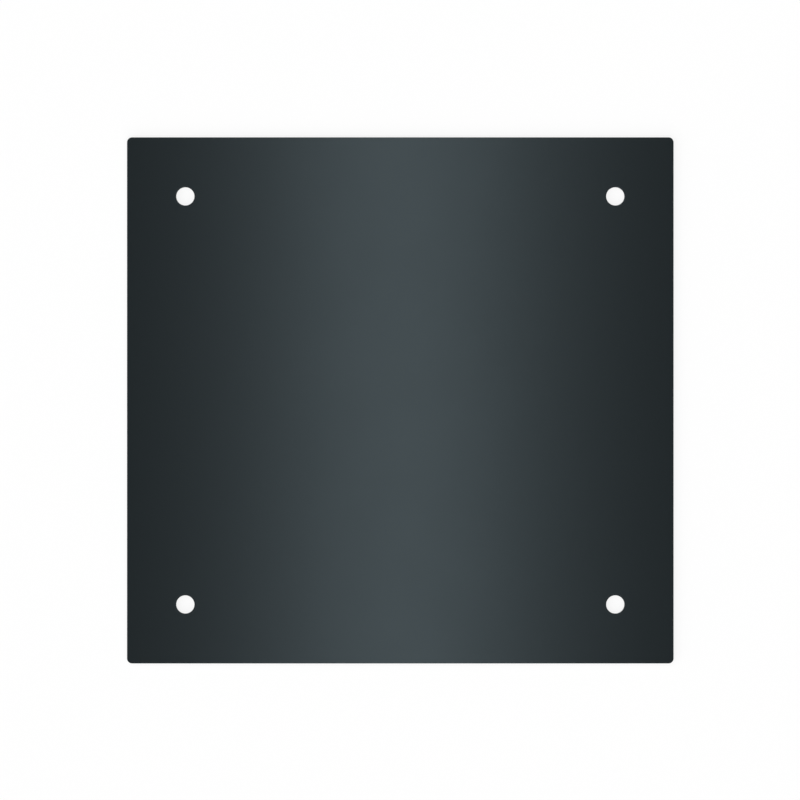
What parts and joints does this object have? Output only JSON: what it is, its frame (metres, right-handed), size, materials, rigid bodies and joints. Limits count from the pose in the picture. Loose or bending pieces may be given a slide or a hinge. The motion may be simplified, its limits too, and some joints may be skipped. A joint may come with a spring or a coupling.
{
  "type": "rectangular cover plate",
  "caption": "Flat rectangular cover plate of painted sheet steel, with rounded corners and a screw hole near each corner, for closing an opening.",
  "frame": {"origin": "middle of the back face, on which the plate lies", "axes": "+X along the longer side, +Y along the other side, +Z out of the front face"},
  "size_m": [0.15, 0.1444, 0.002],
  "materials": {
    "painted_steel": "satin"
  },
  "bodies": {
    "root": {"cover_plate": "painted_steel"}
  },
  "joints": []
}
